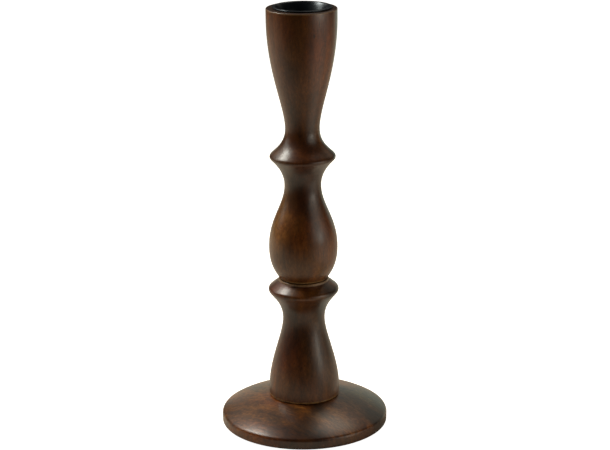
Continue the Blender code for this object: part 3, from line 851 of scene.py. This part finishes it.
def build_candle_cup(enamel):
    """Thin metal cup: rolled rim, hollow drip bowl, straight socket and flat floor."""
    depth = height_of("candle_cup")
    rim_radius = radius_of("candle_cup")
    low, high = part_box("candle_cup")
    roll = RIM_THICKNESS / 2
    outer_wall = SOCKET_RADIUS + CUP_WALL
    inner_bowl = BOWL_RADIUS - CUP_WALL
    step_outside = (outer_wall, -BOWL_DEPTH)
    step_inside = (SOCKET_RADIUS, -BOWL_DEPTH)
    under_rim = (BOWL_RADIUS, -RIM_THICKNESS - RIM_FILLET)
    over_rim = (inner_bowl + RIM_FLAT_START, 0)
    floor = CUP_WALL - depth
    outside = joined(
        [(0, -depth)],
        arc((outer_wall - CUP_CORNER, CUP_CORNER - depth), CUP_CORNER, -90, 0),
        bend(
            step_outside, (outer_wall, BOWL_OUTSIDE_REACH_UP - BOWL_DEPTH),
            (BOWL_RADIUS - RIM_FILLET, under_rim[1] - BOWL_OUTSIDE_REACH_DOWN), under_rim, SHORT,
        ),
        [(BOWL_RADIUS + RIM_FILLET, -RIM_THICKNESS)],
    )
    rim = arc((rim_radius - roll, -roll), roll, -90, 90, SHORT)
    inside = joined(
        bend(
            over_rim, (inner_bowl + RIM_FILLET, 0),
            (SOCKET_RADIUS, BOWL_INSIDE_REACH_UP - BOWL_DEPTH), step_inside, LONG,
        ),
        arc((SOCKET_RADIUS - CUP_CORNER, floor + CUP_CORNER), CUP_CORNER, 0, -90),
        [(0, floor)],
    )
    top_centre = Vector(((low.x + high.x) / 2, 0, high.z))
    return turned("candle_cup_pressing", joined(outside, rim, inside), top_centre, [enamel])


def build_felt_disc(felt):
    """Flat felt disc with softened edges."""
    radius = radius_of("felt_pad")
    thickness = height_of("felt_pad")
    low = arc((radius - FELT_EDGE_ROUND, FELT_EDGE_ROUND), FELT_EDGE_ROUND, -90, 0)
    high = arc((radius - FELT_EDGE_ROUND, thickness - FELT_EDGE_ROUND), FELT_EDGE_ROUND, 0, 90)
    outline = joined([(0, 0)], low, high, [(0, thickness)])
    return turned("felt_disc", outline, foot_of("felt_pad"), [felt])


def repaint(node, material):
    """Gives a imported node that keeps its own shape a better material."""
    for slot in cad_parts[node].material_slots:
        slot.material = material


def build_object():
    """Every piece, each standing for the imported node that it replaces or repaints."""
    bore = bored_wood()
    upper = build_upper_stem(upper_wood(), bore)
    lower = build_lower_stem(lower_wood(), bore)
    disc = build_base(base_wood(), bore)
    installed(upper, "stand", "upper_stem")
    installed(lower, "stand", "lower_stem")
    installed(disc, "stand", "base")
    installed(build_candle_cup(black_enamel()), "cup", "candle_cup")
    felt = build_felt_disc(black_felt())
    installed(felt, "stand", "felt_pad")
    steel = zinc_steel()
    repaint("stem_dowel", bare_beech())
    repaint("base_screw", steel)
    repaint("base_washer", steel)


# ---- studio ------------------------------------------------------------------------------


# Lengths are in metres, angles in degrees, and the camera's film and lens in millimetres.
CAMERA_PLACE = (1.08 * MM, -1.0421, 0.4396)
CAMERA_PITCH = 16.98
CAMERA_ROLL = -0.43
CAMERA_LENS = 110.44
CAMERA_FILM = 36
CAMERA_NEAREST = 0.05
CAMERA_FARTHEST = 50
MIDDLE = Vector((0, 0, 0.12))
FLOOR_SIZE = 8.0
FLOOR_COLOUR = (1.0, 0.90, 0.76)
# The paper's colour runs from dark in front of the object to pale near and behind it: painted
# shade.
FLOOR_DARK = 0.08
FLOOR_PALE = 0.85
FLOOR_DARK_FROM = -0.45
FLOOR_PALE_FROM = -0.10
WHITE = (1, 1, 1)
KEY_COLOUR = (1.0, 0.99, 0.90)
FILL_COLOUR = (1.0, 0.95, 0.82)
BACK_COLOUR = (0.82, 1.0, 0.86)

# The room glows behind the object and above it, from nothing up to its full glow over these
# shares of a direction.
ROOM_GLOW = 0.38
ROOM_BACK = (0.30, 0.70)
ROOM_UP = (0.26, 0.42)


def build_camera():
    """The camera stands in front of the object, a little above it, and looks down at it."""
    data = bpy.data.cameras.new("studio_camera")
    data.sensor_width = CAMERA_FILM
    data.lens = CAMERA_LENS
    data.clip_start = CAMERA_NEAREST
    data.clip_end = CAMERA_FARTHEST
    camera = bpy.data.objects.new("studio_camera", data)
    turn = Matrix.Rotation(math.radians(90 - CAMERA_PITCH), 4, "X")
    roll = Matrix.Rotation(math.radians(CAMERA_ROLL), 4, "Z")
    camera.matrix_world = Matrix.Translation(CAMERA_PLACE) @ turn @ roll
    bpy.context.collection.objects.link(camera)
    bpy.context.scene.camera = camera


def softbox(name, place, target, width, height, power, colour):
    """A rectangular area light that faces a target, with its power in watts."""
    data = bpy.data.lights.new(name, "AREA")
    data.shape = "RECTANGLE"
    data.size = width
    data.size_y = height
    data.energy = power
    data.color = colour
    light = bpy.data.objects.new(name, data)
    light.location = place
    light.rotation_euler = (Vector(target) - Vector(place)).to_track_quat("-Z", "Y").to_euler()
    light.visible_camera = False
    bpy.context.collection.objects.link(light)


def around(azimuth, elevation, distance):
    """A place round the middle of the object. Azimuth 0 is the camera's side, and 90 its right."""
    turn = math.radians(azimuth)
    lift = math.radians(elevation)
    flat = distance * math.cos(lift)
    offset = Vector((flat * math.sin(turn), -flat * math.cos(turn), distance * math.sin(lift)))
    return MIDDLE + offset


def build_floor():
    """White paper, painted darker in front of the object: painted shade where little light would
    fall. To the camera all of it glows white."""
    mesh = bmesh.new()
    bmesh.ops.create_grid(mesh, x_segments=1, y_segments=1, size=FLOOR_SIZE)
    data = bpy.data.meshes.new("floor")
    mesh.to_mesh(data)
    mesh.free()
    material, tree, shader = new_material("floor_paper", 1.0)
    shader.inputs["Specular IOR Level"].default_value = 0
    place = add(tree, "TexCoord").outputs["Object"]
    seen = add(tree, "LightPath").outputs["Is Camera Ray"]
    # Painted shade: the paper's colour darkens towards the front.
    painted_floor_shade = between(
        tree, split(tree, place)["Y"], FLOOR_DARK_FROM, FLOOR_PALE_FROM, FLOOR_DARK, FLOOR_PALE
    )
    shade = maths(tree, "MAXIMUM", painted_floor_shade, seen)
    tree.links.new(mixed(tree, shade, (0, 0, 0), FLOOR_COLOUR), shader.inputs["Base Color"])
    shader.inputs["Emission Color"].default_value = (1, 1, 1, 1)
    tree.links.new(seen, shader.inputs["Emission Strength"])
    data.materials.append(material)
    floor = bpy.data.objects.new("floor", data)
    bpy.context.collection.objects.link(floor)


def build_world():
    """A room that is pale behind the object and dark in front of it, on a white backdrop."""
    world = bpy.data.worlds.new("studio")
    world.use_nodes = True
    tree = world.node_tree
    direction = split(tree, add(tree, "TexCoord").outputs["Generated"])
    glow = maths(
        tree, "MULTIPLY",
        between(tree, direction["Y"], *ROOM_BACK, 0.0, ROOM_GLOW),
        between(tree, direction["Z"], *ROOM_UP),
    )
    seen = add(tree, "LightPath").outputs["Is Camera Ray"]
    background = tree.nodes["Background"]
    tree.links.new(mixed(tree, seen, FILL_COLOUR, WHITE), background.inputs["Color"])
    tree.links.new(maths(tree, "MAXIMUM", glow, seen), background.inputs["Strength"])
    bpy.context.scene.world = world


def build_studio():
    """The camera, the paper, the room, and the lights: high on the left, low on the right."""
    bpy.context.scene.view_settings.view_transform = "Standard"
    build_camera()
    build_floor()
    build_world()
    softbox("key_high", around(-107, 50, 1.1), MIDDLE, 0.36, 0.28, 7.4, KEY_COLOUR)
    softbox("key_middle", around(-105, 34, 1.1), MIDDLE, 0.40, 0.28, 1.20, KEY_COLOUR)
    softbox("key_low", around(-107, 17, 1.1), MIDDLE, 0.40, 0.28, 0.6, KEY_COLOUR)
    softbox("key_back", around(-135, 35, 1.2), MIDDLE, 0.40, 0.40, 0.2, KEY_COLOUR)
    softbox("strip_right", (0.52, -0.34, 0.31), (0, 0, 0.31), 0.50, 0.36, 0.68, FILL_COLOUR)
    softbox("strip_far", around(62, 4, 1.2), MIDDLE, 0.35, 0.20, 0.95, FILL_COLOUR)
    softbox("side_right", around(88, 5, 0.9), MIDDLE, 0.30, 0.40, 0.2, FILL_COLOUR)
    softbox("table_card", (0.43, -0.25, 0.004), (0.43, -0.25, 1), 0.50, 0.50, 0.37, FILL_COLOUR)
    softbox("back_card", (0.30, 0.70, 0.13), (0.30, 0, 0.13), 1.20, 0.24, 0.50, BACK_COLOUR)
    softbox("top_back", around(145, 62, 1.2), MIDDLE, 0.5, 0.5, 2.6, FILL_COLOUR)


build_object()
build_studio()
